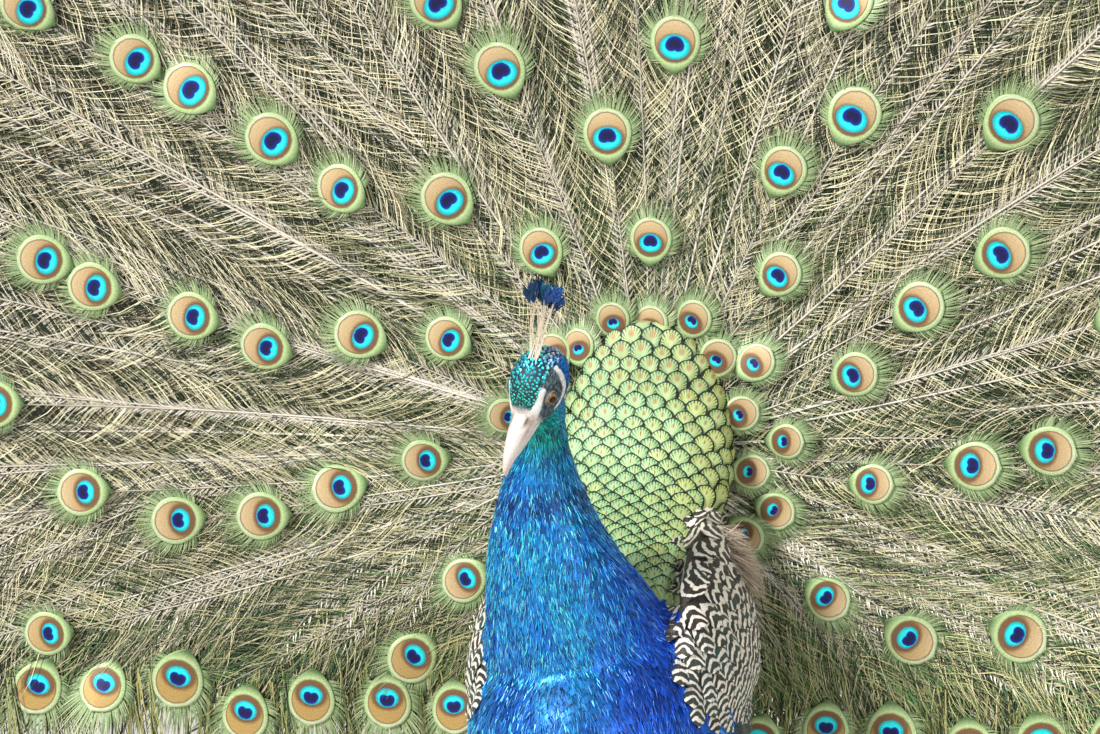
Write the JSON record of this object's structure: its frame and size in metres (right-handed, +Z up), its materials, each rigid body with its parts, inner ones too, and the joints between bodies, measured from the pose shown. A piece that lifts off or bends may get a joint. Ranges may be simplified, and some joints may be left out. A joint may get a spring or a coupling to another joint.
{
  "type": "peacock",
  "caption": "Life-size male Indian peafowl standing in full display, its train of eye-spotted feathers raised in a wide fan behind a blue neck and breast.",
  "frame": {"origin": "on the floor, under the middle of the whole bird's box", "axes": "+X to the bird's left, -Y the way it faces, +Z up"},
  "size_m": [2.3746, 0.4636, 1.7068],
  "materials": {
    "plumage_blue": "glossy iridescent hair-like feathers",
    "plumage_crown": "metallic bead-like feathers and bare white skin",
    "horn": "smooth horn, slightly glossy",
    "eye": "wet, clear and glossy",
    "crest_feather": "bare shafts with small blue-green tips",
    "scaled_green": "overlapping metallic scale feathers",
    "barred_wing": "matt barred feathers",
    "chestnut_quill": "matt long wing feathers",
    "dark_plumage": "soft dark feathers",
    "dark_down": "soft dark down",
    "leg_scute": "dry overlapping scutes",
    "claw": "dark horn",
    "train_feather": "loose metallic barbs with eye spots",
    "tail_feather": "matt stiff feathers"
  },
  "bodies": {
    "root": {"bill_lower": "horn", "bill_upper": "horn", "claw_hind_left": "claw", "claw_hind_right": "claw", "claw_inner_left": "claw", "claw_inner_right": "claw", "claw_middle_left": "claw", "claw_middle_right": "claw", "claw_outer_left": "claw", "claw_outer_right": "claw", "crest": "crest_feather", "eye_left": "eye", "eye_right": "eye", "foot_left": "leg_scute", "foot_right": "leg_scute", "head": "plumage_crown", "mantle": "scaled_green", "neck_lower": "plumage_blue", "neck_upper": "plumage_blue", "primaries_left": "chestnut_quill", "primaries_right": "chestnut_quill", "shank_left": "leg_scute", "shank_right": "leg_scute", "tail": "tail_feather", "thigh_left": "dark_plumage", "thigh_right": "dark_plumage", "train_inner_left": "train_feather", "train_inner_right": "train_feather", "train_low_left": "train_feather", "train_low_right": "train_feather", "train_middle_left": "train_feather", "train_middle_right": "train_feather", "train_outer_left": "train_feather", "train_outer_right": "train_feather", "train_top": "train_feather", "trunk": "plumage_blue", "undertail": "dark_down", "wing_left": "barred_wing", "wing_right": "barred_wing"}
  },
  "joints": []
}
